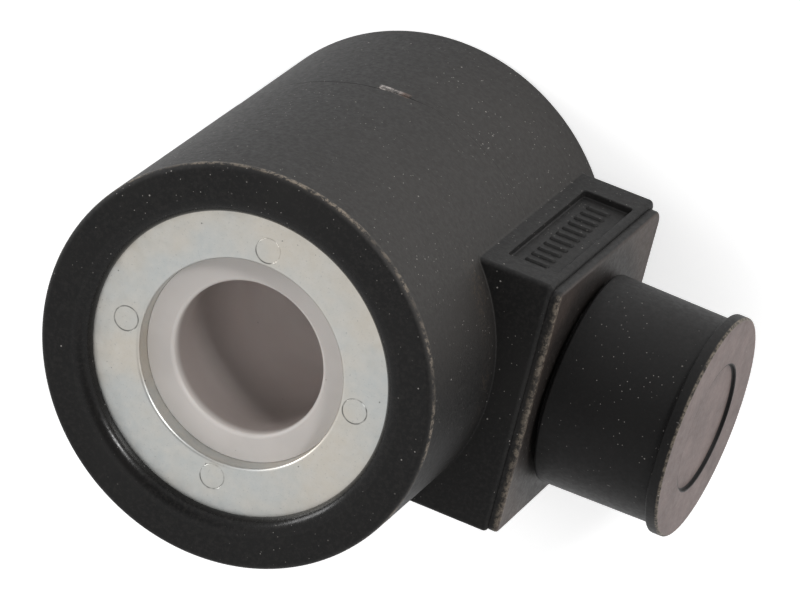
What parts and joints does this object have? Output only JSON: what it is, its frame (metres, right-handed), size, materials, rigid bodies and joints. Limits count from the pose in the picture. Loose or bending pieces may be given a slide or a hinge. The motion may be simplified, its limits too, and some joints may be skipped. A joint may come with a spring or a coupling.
{
  "type": "solenoid coil",
  "caption": "Round black overmoulded solenoid coil with a through bore, plated flux plates and a round side connector under a push-on dust cap.",
  "frame": {"origin": "on the resting plane, under the middle of the whole object's bounding box; the bore axis stands 11.3 mm towards -X from it", "axes": "+Z along the bore, out of the front face; +X the way the connector points and the dust cap pulls off"},
  "size_m": [0.0726, 0.05, 0.057],
  "materials": {
    "black_nylon": "matte glass-filled nylon overmoulding",
    "black_cap": "smooth soft polythene with a low sheen",
    "zinc_plate": "bright passivated zinc plating",
    "yoke_steel": "drawn steel tube",
    "white_nylon": "natural white nylon",
    "enamelled_copper": "enamelled copper wire",
    "winding_tape": "yellow polyester film tape",
    "tinned_brass": "tin plated brass",
    "sleeving": "varnished glass-fibre sleeving",
    "carrier_nylon": "dark grey nylon",
    "diode_epoxy": "black moulded epoxy"
  },
  "bodies": {
    "coil": {"housing": "black_nylon", "connector_receptacle": "black_nylon", "front_flux_plate": "zinc_plate", "rear_flux_plate": "zinc_plate", "yoke_tube": "yoke_steel", "bobbin": "white_nylon", "winding": "enamelled_copper", "winding_tape": "winding_tape", "start_lead": "enamelled_copper", "finish_lead": "enamelled_copper", "start_lead_sleeve": "sleeving", "finish_lead_sleeve": "sleeving", "start_crimp": "tinned_brass", "finish_crimp": "tinned_brass", "contact_pin_1": "tinned_brass", "contact_pin_2": "tinned_brass", "terminal_carrier": "carrier_nylon", "suppressor_diode": "diode_epoxy", "diode_lead_1": "tinned_brass", "diode_lead_2": "tinned_brass"},
    "cap": {"dust_cap": "black_cap"}
  },
  "joints": [
    {"name": "cap_pull", "type": "slide", "parent": "coil", "child": "cap", "axis": [1, 0, 0], "range_m": [0, 0.03]}
  ]
}
